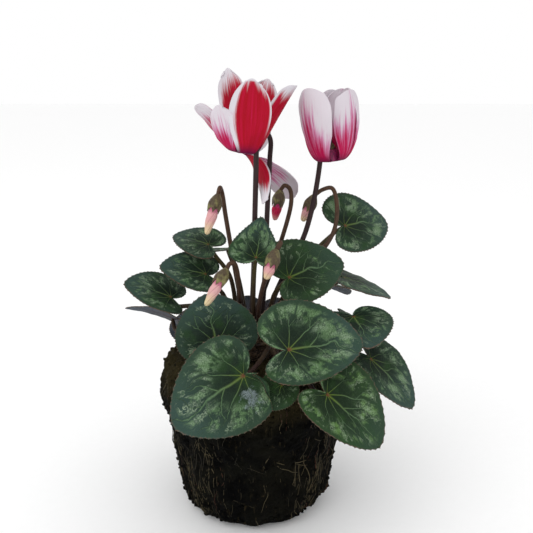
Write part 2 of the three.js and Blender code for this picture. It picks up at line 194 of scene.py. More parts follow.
def stalkRadii(route, radius, foot=1.12, loss=0.2):  # a stalk thins from its foot to its end
    last = len(route) - 1
    return [radius * (foot - loss * i / last) for i in range(len(route))]


def sweep(route, radii, sides):
    bm = bmesh.new()
    ways = [(b - a).normalized() for a, b in zip(route, route[1:])]
    ways = [ways[0], *((a + b).normalized() for a, b in zip(ways, ways[1:])), ways[-1]]
    start = Matrix.Translation(route[0]) @ up.rotation_difference(ways[0]).to_matrix().to_4x4()
    bmesh.ops.create_circle(bm, cap_ends=True, segments=sides, radius=radii[0], matrix=start)
    ring = bm.edges[:]
    for k in range(1, len(route)):
        made = bmesh.ops.extrude_edge_only(bm, edges=ring)
        ring = partsOf(made, bmesh.types.BMEdge)
        verts = partsOf(made, bmesh.types.BMVert)
        turn = ways[k - 1].rotation_difference(ways[k]).to_matrix().to_4x4()
        grow = Matrix.Scale(radii[k] / radii[k - 1], 4)
        move = Matrix.Translation(route[k]) @ turn @ grow @ Matrix.Translation(-route[k - 1])
        bmesh.ops.transform(bm, matrix=move, verts=verts)
    bmesh.ops.edgeloop_fill(bm, edges=ring)
    bmesh.ops.recalc_face_normals(bm, faces=bm.faces[:])
    return bm


def turnedShape(profile, steps):  # a profile of radius and height, spun about the upright
    bm = bmesh.new()
    verts = [bm.verts.new((r, 0, z)) for r, z in profile]
    edges = [bm.edges.new(pair) for pair in zip(verts, verts[1:])]
    bmesh.ops.spin(
        bm, geom=verts + edges, cent=(0, 0, 0), axis=(0, 0, 1), dvec=(0, 0, 0),
        angle=2 * math.pi, steps=steps, use_merge=True,
    )
    bmesh.ops.remove_doubles(bm, verts=bm.verts[:], dist=1e-5)
    bmesh.ops.recalc_face_normals(bm, faces=bm.faces[:])
    return bm


def turnsAbout(bm):  # each face's corners with their turn about the upright, on the face's side of the seam
    for face in bm.faces:
        middle = face.calc_center_median()
        facing = math.atan2(middle.y, middle.x)
        for loop in face.loops:
            at = loop.vert.co
            turn = math.atan2(at.y, at.x) if at.xy.length > 1e-4 else facing
            if abs(turn - facing) > math.pi:
                turn += math.copysign(2 * math.pi, facing)
            yield loop, turn


def smoothProfile(points, stepsBetween):
    route = routeThrough([Vector((r, 0, z)) for r, z in points], stepsBetween)
    return [(max(p.x, 0), p.z) for p in route]


def join(bm, part, material=0):
    for face in part.faces:
        face.material_index += material
    mesh = bpy.data.meshes.new("part")
    part.to_mesh(mesh)
    part.free()
    bm.from_mesh(mesh)
    bpy.data.meshes.remove(mesh)


def finishPiece(name, bm, materials, node=None):
    bmesh.ops.scale(bm, vec=(mm, mm, mm), verts=bm.verts[:])
    mesh = bpy.data.meshes.new(name)
    bm.to_mesh(mesh)
    bm.free()
    mesh.shade_smooth()
    mesh.set_sharp_from_angle(angle=radians(55))
    for material in materials:
        mesh.materials.append(material)
    piece = bpy.data.objects.new(name, mesh)
    bpy.context.scene.collection.objects.link(piece)
    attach(piece, "root")
    if node:
        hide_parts(node)


def between(value, low, high):  # eases from 0 to 1
    t = min(max((value - low) / (high - low), 0), 1)
    return t * t * (3 - 2 * t)


# Root ball: peat and matted roots, cast by the pot
rootBall = {
    "profile": [
        (0, 0), (31, 0), (37, 2.5), (41, 7), (42.9, 13), (44.1, 22), (45, 32), (45.8, 41), (46.8, 48),
        (48.5, 55), (50, 62), (50.5, 70), (49.7, 77), (47, 83), (42.5, 86), (30, 87.2), (0, 88),
    ],
    "steps": 288,
    "lump": 1.5,
    "rootRidge": 0.7,
    "crumbRelief": 1.1,  # fine lumps on top of the coarse ones
    "strands": 640,
    "strandRadii": (0.1, 0.12, 0.15, 0.22),
    "strandStride": 1.6,  # along the profile
    "redShare": 0.1,
    # Where the roots ran thick down the pot's wall, in degrees, and the share of them that did
    "bundles": (-150, -128, -48, -28, 18, 62, 100, 140, 178),
    "bundleWidth": 9,
    "bundledShare": 0.68,
    "crumbs": 520,
    "crumbRadii": (0.5, 1.5),
}
tuber = {"radius": 18, "halfHeight": 10, "height": 89.5}


def ballPoint(r, z, angle):
    lumps = (
        math.sin(3 * angle + 0.05 * z)
        + 0.7 * math.sin(5 * angle - 0.09 * z + 1.3)
        + 0.6 * math.sin(9 * angle + 0.16 * z + 4.1)
        + 0.5 * math.sin(0.21 * z + 2 * angle)
    )
    ridges = math.sin(16 * angle + 1.6 * math.sin(0.11 * z + 3 * angle))
    grown = rootBall["lump"] * lumps / 2.8 + rootBall["rootRidge"] * ridges
    r += between(r, 20, 40.5) * grown * (1 if z > 0.01 else 0)
    top = 0.8 * math.sin(7 * angle + 0.2 * r) if z > 85 and r > 1 else 0
    p = Vector((r * math.cos(angle), r * math.sin(angle), z + top))
    out = Vector((p.x, p.y, 0.35 * (z - 40) if z > 60 else 0)).normalized() if r > 1 else up
    crumb = noise.turbulence(p * 0.16, 4, False, noise_basis="PERLIN_ORIGINAL") - 0.75
    crumb += 0.55 * noise.noise(p * 0.4) + 0.5 * noise.noise(p * 0.75)
    return p + out * crumb * rootBall["crumbRelief"] * between(z, 0, 4)


def soilMaterial(name):
    material, wire = newMaterial(name)
    at = objectPlace(wire)
    grain = at.cloud(420, 6, 0.7)
    clods = at.cloud(90, 3, 0.6)
    damp = at.cloud(28, 2, 0.5)
    fibre = at.stretch(1, 1, 0.16).cloud(620, 3, 0.7)
    collar = (at.parts()[2] * 1000 + damp * 30).rise(78, 96)
    base = clods.rise(0.4, 0.65).mix(colour(3, 3, 3), colour(14, 14, 10))
    base = (damp.rise(0.5, 0.72) * 0.6).mix(base, colour(22, 21, 14))
    base = (collar * 0.5).mix(base, colour(62, 55, 32))
    base = (fibre.rise(0.6, 0.72) * (0.35 + 0.5 * collar)).mix(base, colour(72, 63, 42))
    base = (grain.rise(0.6, 0.74) * 0.55).mix(base, colour(70, 58, 40))
    base = grain.rise(0.46, 0.34).mix(base, colour(3, 3, 2))
    height = grain + fibre * 0.6 + clods * 1.4
    finishMaterial(wire, base, 0.85 + 0.15 * clods, height, 1.4, {"Specular IOR Level": 0.05})
    return material


def strandMaterial(name, dark, pale):
    material, wire = newMaterial(name)
    at = objectPlace(wire)
    tone = at.cloud(60, 3, 0.6).rise(0.32, 0.68)
    fleck = at.cloud(900, 2, 0.5)
    base = tone.mix(dark, pale)
    base = fleck.rise(0.55, 0.75).mix(base, colour(30, 25, 18))
    finishMaterial(wire, base, 0.6 + 0.3 * fleck, fleck, 0.15, {"Specular IOR Level": 0.25})
    return material


def strandRoute(dice, side):  # a root down the pot's wall, or nearly level along it, and its radius
    bundled = dice.random() < rootBall["bundledShare"]
    angle = dice.uniform(-math.pi, math.pi)
    start = int(len(side) * dice.random() ** 0.8)
    if bundled:
        angle = radians(dice.choice(rootBall["bundles"]) + dice.gauss(0, rootBall["bundleWidth"]))
        start = int(len(side) * dice.uniform(0.1, 0.62))
    steps = dice.randint(7, 17) if bundled else dice.randint(5, 11)
    lean = dice.gauss(0, 0.008)
    down = 1 if bundled or dice.random() < 0.8 else 0.35
    radius = dice.choice(rootBall["strandRadii"])
    route = []
    for step in range(steps):
        at = start - step * down * rootBall["strandStride"]
        if at < 0:
            break
        r, z = side[min(int(at), len(side) - 1)]
        angle += lean + dice.gauss(0, 0.014) + (0.03 if down < 1 else 0)
        lift = radius * 0.5 + dice.uniform(-0.5, 0.3)
        p = ballPoint(r, z, angle)
        p += Vector((math.cos(angle), math.sin(angle), 0)) * lift
        route.append(Vector((p.x, p.y, max(p.z, radius))))
    return route, radius


def buildStrands(dice, side):
    strands = bmesh.new()
    for _ in range(rootBall["strands"]):
        route, radius = strandRoute(dice, side)
        if len(route) < 4:
            continue
        stops = route[::2] + route[-1:] if len(route) % 2 == 0 else route[::2]
        route = routeThrough(stops, 3)
        runs = [min(1, 0.15 + i / len(route)) for i in range(len(route))]
        radii = [radius * (0.45 + 0.55 * math.sin(math.pi * run)) for run in runs]
        join(strands, sweep(route, radii, 4), 1 if dice.random() < rootBall["redShare"] else 0)
    looks = [
        strandMaterial("paleRoot", colour(26, 24, 16), colour(78, 70, 48)),
        strandMaterial("redRoot", colour(40, 26, 18), colour(84, 50, 34)),
    ]
    finishPiece("rootStrands", strands, looks)


def buildCrumbs(dice, side):  # a third of them on the ball's lowest quarter, the rest anywhere on its side
    crumbs = bmesh.new()
    for k in range(rootBall["crumbs"]):
        angle = dice.uniform(-math.pi, math.pi)
        r, z = dice.choice(side if k % 3 else side[: len(side) // 4])
        p = ballPoint(r, z, angle)
        size = dice.uniform(*rootBall["crumbRadii"])
        part = bmesh.new()
        bmesh.ops.create_icosphere(part, subdivisions=1, radius=size)
        bmesh.ops.scale(part, vec=(1, dice.uniform(0.6, 1), dice.uniform(0.5, 0.9)), verts=part.verts[:])
        for vert in part.verts:
            vert.co *= 1 + 0.35 * noise.noise(vert.co * 1.3 + Vector((k, 0, 0)))
        bmesh.ops.rotate(part, matrix=Matrix.Rotation(dice.uniform(0, 6), 3, "X"), verts=part.verts[:])
        bmesh.ops.translate(part, vec=(p.x, p.y, max(p.z, 1.35 * size)), verts=part.verts[:])
        join(crumbs, part)
    finishPiece("peatCrumbs", crumbs, [soilMaterial("crumbledPeat")])


def buildRootBall():
    profile = smoothProfile(rootBall["profile"], 7)
    bm = turnedShape(profile, rootBall["steps"])
    for vert in bm.verts:
        x, y, z = vert.co
        vert.co = ballPoint(math.hypot(x, y), max(z, 0), math.atan2(y, x))
    finishPiece("peatBall", bm, [soilMaterial("peat")], "root_ball")

    dice = random.Random(7)
    side = [(r, z) for r, z in profile if r > 38 and z < 84]
    buildStrands(dice, side)
    buildCrumbs(dice, side)


buildRootBall()
print("root ball built")


# Tuber: corky, half buried, every stalk rises from it
def corkMaterial(name):
    material, wire = newMaterial(name)
    at = objectPlace(wire)
    cracks = at.node("TexVoronoi", {"feature": "DISTANCE_TO_EDGE"}, {"Vector": at, "Scale": 260})
    grain = at.cloud(500, 4, 0.6)
    base = grain.rise(0.35, 0.7).mix(colour(58, 42, 29), colour(104, 80, 56))
    base = cracks.near(0.09).mix(base, colour(34, 25, 18))
    finishMaterial(wire, base, 0.7 + 0.25 * grain, grain + cracks.rise(0, 0.2), 0.5)
    return material


def buildTuber():
    rows = 26
    turns = [math.pi * k / rows - math.pi / 2 for k in range(rows + 1)]
    profile = [(tuber["radius"] * math.cos(a), tuber["halfHeight"] * math.sin(a)) for a in turns]
    profile[0] = (0, profile[0][1])
    profile[-1] = (0, profile[-1][1])
    bm = turnedShape(profile, 72)
    for vert in bm.verts:
        vert.co *= 1 + 0.025 * noise.noise(vert.co * 0.25) + 0.012 * noise.noise(vert.co)
    bmesh.ops.translate(bm, vec=(0, 0, tuber["height"]), verts=bm.verts[:])
    finishPiece("corkyTuber", bm, [corkMaterial("cork")], "tuber")


def footAt(foot):
    radius, turn = foot[0], radians(foot[1])
    z = tuber["height"] + tuber["halfHeight"] * math.sqrt(1 - (radius / tuber["radius"]) ** 2)
    return Vector((radius * math.cos(turn), radius * math.sin(turn), z - 1.5))


buildTuber()
print("tuber built")


# Leaves
leafMake = {
    "steps": 180,
    "shares": [0, 0.07, 0.15, 0.24, 0.33, 0.42, 0.51, 0.6, 0.69, 0.78, 0.86, 0.93, 0.975, 1],
    "teeth": 60,
    "toothDepth": 0.014,
    "notchDepth": 0.06,
    "bead": 0.26,
    "flap": 0.11,  # of the leaf's length, where its margin is turned up
    "flapCurl": 172,  # degrees
    "flapBend": 0.3,  # of the flap
    "thickness": 0.55,
    "quilt": 0.016,  # of the leaf's length, between the veins
    "stalkRadius": 1.15,
    "neck": 7,
}
usualLeaf = {
    "width": (0.9, 0.9), "taper": 0, "notch": 34,
    "cup": -0.12, "fold": 0.08, "wave": 0.02, "waves": 3, "droop": 0.05,
    "arrive": 50, "arch": 8, "sway": (0, 0, 0),  # of the stalk
    "tone": 0.35, "silver": 0.6,  # from bluish to fresh green, and how far light patches spread
    "dust": (9, 9, 1),  # a dusty smudge: its middle along and across the blade, and its reach
    "roll": (999, 1),  # a margin turned up: its middle from the tip, and its reach, in degrees
}
# The point where the stalk joins the blade, the tip, the way the face looks, the stalk's foot on the tuber
leaves = [
    {"at": (-4, -50, 94), "tip": (-36, -66, 76), "faces": (0.21, -0.78, 0.58), "foot": (14, -84),
     "width": (0.93, 0.97), "notch": 48, "arrive": 25, "arch": 6, "sway": (7, 0, 0), "silver": 0.7,
     "dust": (0.08, 0.3, 0.24), "roll": (122, 34)},
    {"at": (-19, -24, 100), "tip": (-23, -17, 124), "faces": (0.1, -0.93, 0.35), "foot": (13, -140),
     "width": (1.28, 1.45), "arch": 4, "tone": 0.2, "silver": 0.2},
    {"at": (17, -48, 106), "tip": (54, -42, 110), "faces": (0.12, -0.72, 0.68), "foot": (9, -66),
     "width": (1.08, 0.76), "notch": 30, "arch": 10, "tone": 0.4, "silver": 0.75},
    {"at": (35, -54, 86), "tip": (64, -60, 64), "faces": (0.27, -0.7, 0.66), "foot": (14, -38),
     "width": (1.02, 0.68), "notch": 36, "tone": 0.8, "silver": 0.75},
    {"at": (14, -48.5, 88.5), "tip": (9, -53.5, 77.5), "faces": (0.05, -0.85, 0.5), "foot": (14, -62),
     "width": (1.15, 1.2), "arch": 3, "tone": 0.9, "silver": 0.2},
    {"at": (18, -13, 131), "tip": (47, -3, 140), "faces": (-0.06, -0.7, 0.71), "foot": (8, -30),
     "width": (1.15, 0.85), "notch": 42, "tone": 0.7, "silver": 0.4},
    {"at": (49, 15, 152), "tip": (75, 25, 155), "faces": (0.2, -0.68, 0.71), "foot": (8, 30),
     "width": (1.2, 1)},
    {"at": (1.5, -19, 143), "tip": (4.5, -14, 163), "faces": (0.04, -0.92, 0.4), "foot": (7, -95),
     "width": (1.25, 0.98), "taper": 0.5, "notch": 60, "silver": 0.95},
    {"at": (-25, -3, 130), "tip": (-47, -9, 138), "faces": (0.3, -0.5, 0.81), "foot": (10, 190),
     "width": (0.8, 1)},
    {"at": (-43, -8, 119), "tip": (-64, -14, 131), "faces": (0.4, -0.5, 0.77), "foot": (13, 195),
     "width": (0.7, 0.9)},
    {"at": (59, -28, 93), "tip": (83, -38, 74), "faces": (0.4, -0.5, 0.76), "foot": (13, -20),
     "width": (0.9, 0.7)},
    {"at": (51, -18, 112), "tip": (58, -38, 106), "faces": (0.1, -0.3, 0.95), "foot": (10, -12),
     "width": (1.45, 1.5)},
    {"at": (48, 3, 126.5), "tip": (74, 0, 120), "faces": (0.25, -0.02, 0.97), "foot": (11, 8)},
    {"at": (34, 30, 118), "tip": (56, 48, 108), "faces": (0.4, 0.35, 0.85), "foot": (13, 38)},
    {"at": (12, 40, 128), "tip": (18, 70, 120), "faces": (0.1, 0.5, 0.86), "foot": (9, 75)},
    {"at": (-16, 36, 134), "tip": (-30, 62, 130), "faces": (-0.2, 0.45, 0.87), "foot": (8, 120)},
    {"at": (-38, 22, 122), "tip": (-62, 38, 114), "faces": (-0.4, 0.3, 0.86), "foot": (12, 145)},
    {"at": (-44, 2, 104), "tip": (-68, 8, 112), "faces": (-0.25, 0.5, 0.83), "foot": (14, 172)},
    {"at": (-34, 42, 94), "tip": (-48, 58, 72), "faces": (-0.45, 0.55, 0.7), "foot": (14, 128)},
    {"at": (4, 54, 94), "tip": (4, 74, 72), "faces": (0.05, 0.72, 0.68), "foot": (14, 92)},
    {"at": (38, 38, 92), "tip": (54, 50, 70), "faces": (0.5, 0.5, 0.7), "foot": (14, 58)},
    {"at": (56, 12, 98), "tip": (80, 14, 80), "faces": (0.55, 0.1, 0.83), "foot": (14, 14)},
    {"at": (-24, 5, 144), "tip": (-43, 12, 150.5), "faces": (0.15, -0.45, 0.88), "foot": (9.5, 160),
     "width": (0.9, 1), "sway": (2, 3, 0)},
]


def leafVeins(wire, angle, share, drift):
    # The midrib with its own side veins, and three veins a side that fork on their way out;
    # with the distance to the nearest of the long ones
    turn = angle + drift * share.rise(0.05, 0.5)
    taper = 1.15 - 0.8 * share
    middle = abs(turn) * (share * math.pi)
    gap = middle
    veins = middle.rise(0.028 * taper, 0)
    for fork, spread, end in ((0.3, 0.72, 0.85), (0.55, 0.8, 1)):
        run = (share - fork + turn.maths("SIGN", turn) * 0.04).most(0)
        branch = abs(middle - run * spread).rise(0.017 * taper, 0)
        veins = veins.most(branch * run.rise(0, 0.02) * (1 - share.rise(end - 0.2, end)))
    # Each long vein: its angle, where it forks, how its two branches spread, and where they end
    longVeins = ((0.2, 0.5, 0.42, 0.2, 0.9), (0.41, 0.44, 0.5, 0.32, 0.85), (0.67, 0.5, 0.36, 0.5, 0.84))
    for at, fork, wide, narrow, end in longVeins:
        aim = at - 0.05 * (share * share)
        off = (abs(turn) - aim) * (share * math.pi)
        gap = gap.least(abs(off))
        run = (share - fork).most(0)
        for spread in (wide, -narrow):
            branch = abs(off - run * spread)
            veins = veins.most(branch.rise(0.018 * taper, 0) * (1 - 0.85 * share.rise(end - 0.25, end)))
    return veins, gap


def leafMaterial(name, back=False):
    material, wire = newMaterial(name)
    x, y, _ = wire.node("UVMap", {"uv_map": "flat"}).parts()
    angle, share, _ = wire.node("UVMap", {"uv_map": "polar"}).parts()
    seed, tone, silver = stored(wire, "leafLook", "Vector").parts()
    flat = wire.place(x, y, seed)
    drift = (flat.cloud(2.2, 1, 0.5) - 0.5) * 0.22 + (flat.cloud(9, 2, 0.5) - 0.5) * 0.035
    veins, gap = leafVeins(wire, angle, share, drift)
    fineNet = flat.node("TexVoronoi", {"feature": "DISTANCE_TO_EDGE"}, {"Vector": flat, "Scale": 15})
    net = fineNet.near(0.07)
    grain = flat.cloud(60, 3, 0.6)
    broad = flat.cloud(2.2, 2, 0.5)

    if back:
        base = share.rise(0.1, 0.95).mix(colour(64, 48, 58), colour(58, 74, 88))
        base = broad.rise(0.35, 0.65).mix(base, colour(48, 54, 62))
        base = (net * 0.2).mix(base, colour(90, 100, 112))
        base = (veins * 0.7).mix(base, colour(96, 78, 92))
        rolled = 0 - stored(wire, "leafDust")
        withered = (broad + grain * 0.4).rise(0.5, 0.9).mix(colour(136, 150, 82), colour(170, 174, 110))
        base = rolled.rise(0.05, 0.5).mix(base, withered)
        height = veins * 1.6 + net * 0.5 + grain * 0.2
        finishMaterial(wire, base, 0.55 + 0.1 * grain, height, 0.45, {"Specular IOR Level": 0.2})
        return material

    # Dark green of the leaf, going over towards the margin into a paler bluish green that is partly a
    # painted sheen: the sky's reflection painted into the colour
    deep = tone.mix(colour(12, 25, 20), colour(15, 34, 9))
    paintedSheen = tone.mix(colour(42, 60, 53), colour(38, 62, 28))
    base = (share + broad * 0.6 - 0.3).rise(0.2, 0.95).mix(deep, paintedSheen)
    fresh = flat.cloud(3.4, 2, 0.5).rise(0.48, 0.7)
    base = (fresh * (0.45 + 0.3 * tone)).mix(base, colour(36, 66, 24))
    # Painted sheen: a bluish reflection of the sky painted towards the tip, stronger on the bluer leaves
    base = (x.rise(0.3, 0.9) * (0.75 - 0.65 * tone)).mix(base, colour(54, 76, 74))
    base = (grain.rise(0.4, 0.75) * 0.25).mix(base, colour(48, 70, 54))

    # Silver patches in a ring between the veins: blotches with streaked, light edges
    feather = wire.place(angle * 15, share * 2.2, seed).cloud(1.0, 4, 0.7)
    blotch = flat.cloud(6.5, 3, 0.6)
    field = blotch * 0.65 + feather * 0.35 + silver * 0.17
    ring = (share + (broad - 0.5) * 0.5).rise(0.4, 0.62) * gap.rise(0.005, 0.06)
    ring = ring * (1 - (share + (blotch - 0.5) * 0.3).rise(0.84, 0.94))
    patch = field.rise(0.6, 0.68) * ring * (0.45 + 0.7 * grain.rise(0.3, 0.6))
    green = tone.mix(colour(84, 110, 84), colour(86, 122, 54))
    silvery = (feather + grain * 0.4).rise(0.6, 1.0).mix(green, colour(132, 152, 126))
    base = (patch * 0.85).mix(base, silvery)
    crest = (field - 0.6).near(0.022) * ring * feather.rise(0.46, 0.6)
    base = (crest * 0.7).mix(base, colour(146, 164, 136))

    base = (net * 0.08).mix(base, colour(80, 104, 70))
    inner = tone.mix(colour(88, 102, 50), colour(92, 116, 38))
    veinTone = share.rise(0.0, 0.5).mix(inner, colour(94, 122, 88))
    base = (veins * (0.95 - 0.35 * share)).mix(base, veinTone)
    base = (1 - (share + grain * 0.04).rise(0.03, 0.09)).mix(base, colour(98, 58, 40))
    rim = share.rise(0.972, 0.995) * flat.cloud(34, 2, 0.6).rise(0.4, 0.65)
    base = (rim * 0.7).mix(base, colour(112, 88, 76))

    # Pale specks, and dust that lies in a ragged smudge
    speck = flat.node("TexVoronoi", {}, {"Vector": flat, "Scale": 38}).rise(0.07, 0.03)
    scattered = flat.cloud(9, 1, 0.5).rise(0.55, 0.6)
    base = (speck * scattered * 0.6).mix(base, colour(184, 194, 184))
    dust = stored(wire, "leafDust")
    ragged = dust + (grain - 0.5) * 0.9 + (flat.cloud(8, 3, 0.6) - 0.5) * 2.2
    smudge = ragged.rise(0.4, 0.8) * dust.rise(0, 0.2)
    salted = flat.cloud(110, 2, 0.6).rise(0.42, 0.58)
    base = (smudge * (0.15 + 0.55 * salted)).mix(base, colour(142, 156, 160))
    height = grain * 0.25 - veins * 1.1 - net * 0.2 + broad * 0.5
    finishMaterial(wire, base, 0.5 + 0.14 * grain, height, 0.45, {"Specular IOR Level": 0.13})
    return material


def stalkMaterial(name, low, high, streak, rise=(60, 190)):
    material, wire = newMaterial(name)
    at = objectPlace(wire)
    height = at.parts()[2] * 1000
    lines = at.stretch(1, 1, 0.05).cloud(1500, 3, 0.6)
    patches = at.cloud(70, 2, 0.5)
    base = (height + patches * 60 - 30).rise(*rise).mix(low, high)
    base = (lines.rise(0.42, 0.7) * 0.6).mix(base, streak)
    finishMaterial(wire, base, 0.45 + 0.15 * lines, lines, 0.18, {"Specular IOR Level": 0.2})
    return material


def edgeMaterial(name, base, fleck):
    material, wire = newMaterial(name)
    at = objectPlace(wire)
    beads = at.cloud(900, 2, 0.5)
    base = beads.rise(0.4, 0.65).mix(base, fleck)
    finishMaterial(wire, base, 0.5 + 0.1 * beads, beads, 0.1, {"Specular IOR Level": 0.2})
    return material


def marginRadius(turn, leaf):
    a = abs(turn)
    body = 0.57 + 0.08 * math.cos(a) + 0.45 * math.exp(-math.hypot(a, 0.15) / 0.6)
    toNotch = (math.pi - a) / radians(leaf["notch"])
    return body * (1 - math.exp(-(toNotch**2))) + leafMake["notchDepth"] * (a / math.pi) ** 8


def rollAt(leaf, turn):  # how far the margin is turned up, from 0 to 1
    middle, reach = leaf["roll"]
    return between(1 - abs(turn - radians(middle)) / radians(reach), 0, 0.6)


def turnUp(curl, part):  # how far across and up a fold of length 1 lies: a tight bend, then flat
    bend = leafMake["flapBend"]
    curved = min(part, bend)
    across = bend * math.sin(curl * curved / bend) / curl + (part - curved) * math.cos(curl)
    return across, bend * (1 - math.cos(curl * curved / bend)) / curl + (part - curved) * math.sin(curl)


def leafPoint(leaf, turn, share, seed):  # on the upper face of a leaf of length 1
    tooth = abs((turn / math.pi + 1) * leafMake["teeth"] / 2 % 1 - 0.5) * 2
    cut = 1 - leafMake["toothDepth"] * tooth * between(share, 0.95, 1)
    margin = marginRadius(turn, leaf)
    flap = min(leafMake["flap"], 0.4 * margin)
    part = max(1 - (1 - share) * margin / flap, 0)
    across, lifted = turnUp(max(radians(leafMake["flapCurl"]) * rollAt(leaf, turn), 1e-3), part)
    r = margin * share * cut + flap * (across - part)
    x = r * math.cos(turn)
    narrowed = 1 - leaf["taper"] * max(x, 0)
    y = r * math.sin(turn) * leaf["width"][0 if turn > 0 else 1] * narrowed
    ripple = leaf["wave"] * share**2 * math.sin(leaf["waves"] * turn + leaf["phase"])
    quilt = leafMake["quilt"] * noise.noise(Vector((x * 6, y * 6, seed))) * between(share, 0, 0.3)
    z = leaf["cup"] * r * r + leaf["fold"] * abs(y) + ripple + quilt - leaf["droop"] * max(x, 0) ** 2
    return Vector((x, y, z + flap * lifted))


def leafBlade(leaf, length, place, seed):
    bm = turnedShape([(-share, 0) for share in leafMake["shares"]], leafMake["steps"])
    if bm.faces[0].normal.z < 0:
        bmesh.ops.reverse_faces(bm, faces=bm.faces[:])

    flat = bm.loops.layers.uv.new("flat")
    polar = bm.loops.layers.uv.new("polar")
    for loop, turn in turnsAbout(bm):
        share = loop.vert.co.xy.length
        r = share * marginRadius(turn, leaf)
        loop[flat].uv = (r * math.cos(turn), r * math.sin(turn))
        loop[polar].uv = (turn / math.pi, share)
    for vert in bm.verts:
        turn = math.atan2(vert.co.y, vert.co.x)
        vert.co = leafPoint(leaf, turn, vert.co.xy.length, seed) * length

    solid = bmesh.ops.solidify(bm, geom=bm.faces[:], thickness=leafMake["thickness"])
    back = set(partsOf(solid, bmesh.types.BMFace))
    bm.normal_update()
    for part in bm.faces:
        if part in back:
            part.material_index = 1
        elif abs(part.normal.z) < 0.3 and part.calc_area() < leafMake["thickness"] * 2:
            part.material_index = 2

    dust = bm.verts.layers.float.new("leafDust")  # below 0 where the margin is turned up
    smudge, reach = Vector(leaf["dust"][:2]), leaf["dust"][2]
    blade = [part for part in bm.faces if part.material_index < 2]
    for loop in (loop for part in blade for loop in part.loops):
        turn, share = loop[polar].uv
        near = max(0, 1 - (loop[flat].uv - smudge).length / reach)
        loop.vert[dust] = near - rollAt(leaf, turn * math.pi) * between(share, 0.5, 0.6)

    beads = bmesh.new()
    for k in range(leafMake["teeth"]):
        turn = ((2 * k + 1) / leafMake["teeth"] - 1) * math.pi
        p = leafPoint(leaf, turn, 1, seed) * length - up * leafMake["thickness"] / 2
        size = leafMake["bead"] * (1 + 0.3 * math.sin(k * 2.7 + seed))
        bmesh.ops.create_icosphere(beads, subdivisions=1, radius=size, matrix=Matrix.Translation(p))
    join(bm, beads, 2)

    look = bm.verts.layers.float_vector.new("leafLook")
    for vert in bm.verts:
        vert[look] = (seed, leaf["tone"], leaf["silver"])
    bmesh.ops.transform(bm, matrix=place, verts=bm.verts[:])
    return bm


def buildLeaf(k, leaf, materials):
    at = Vector(leaf["at"])
    along = Vector(leaf["tip"]) - at
    length = along.length
    along.normalize()
    face = Vector(leaf["faces"])
    face = (face - along * face.dot(along)).normalized()
    across = face.cross(along)
    place = Matrix.Translation(at) @ Matrix((along, across, face)).transposed().to_4x4()
    bm = leafBlade(leaf, length, place, 3.7 * k + 1)

    arrive = radians(leaf["arrive"])
    neck = at - along * leafMake["neck"] * math.cos(arrive) - face * leafMake["neck"] * math.sin(arrive)
    foot = footAt(leaf["foot"])
    middle = foot.lerp(neck, 0.5) + Vector(leaf["sway"]) + up * leaf["arch"]
    route = routeThrough([foot, middle, neck, at - face * 0.45], 12)
    radii = stalkRadii(route, leafMake["stalkRadius"])
    radii[-3:] = [radii[-4] * share for share in (0.95, 0.8, 0.5)]
    join(bm, sweep(route, radii, 10), 3)
    finishPiece(f"cyclamenLeaf_{k + 1:02d}", bm, materials, f"leaf_{k + 1:02d}")


def buildLeaves():
    materials = [
        leafMaterial("leafFace"),
        leafMaterial("leafUnderside", back=True),
        edgeMaterial("leafMargin", colour(58, 56, 44), colour(104, 82, 68)),
        stalkMaterial("leafStalk", colour(46, 27, 24), colour(72, 66, 36), colour(34, 20, 20), (80, 150)),
    ]
    for k, leaf in enumerate(leaves):
        buildLeaf(k, {**usualLeaf, "phase": 1.7 * k, **leaf}, materials)


buildLeaves()
print("leaves built")


# Flowers, mouth down, five petals folded up round the tube
flowerMake = {
    "stalkRadius": 1.3,
    "tube": [(0, 3.2), (2.4, 2.6), (3, 0), (4.4, 0.2), (4.4, 2.6), (3.8, 4.8), (2, 6.6), (0, 6.6)],
    "calyx": [(0.6, 9.6), (1.5, 9), (2.2, 7.9), (2.9, 7.0)],
    "hookShoulder": 9.5,
    "petalThickness": 0.6,
    "petalSpacing": 66,
    "petalFoot": (3.8, 0.9),  # radius and height
    "foldAngle": 130,  # the petal leaves the mouth outward and folds up at once
    "foldReach": 0.07,
    "ruffle": 0.3,
    "columns": 16,
    "rows": (0, 0.08, 0.19, 0.38, 0.6, 0.82, 1),
    "rowSteps": 8,
}
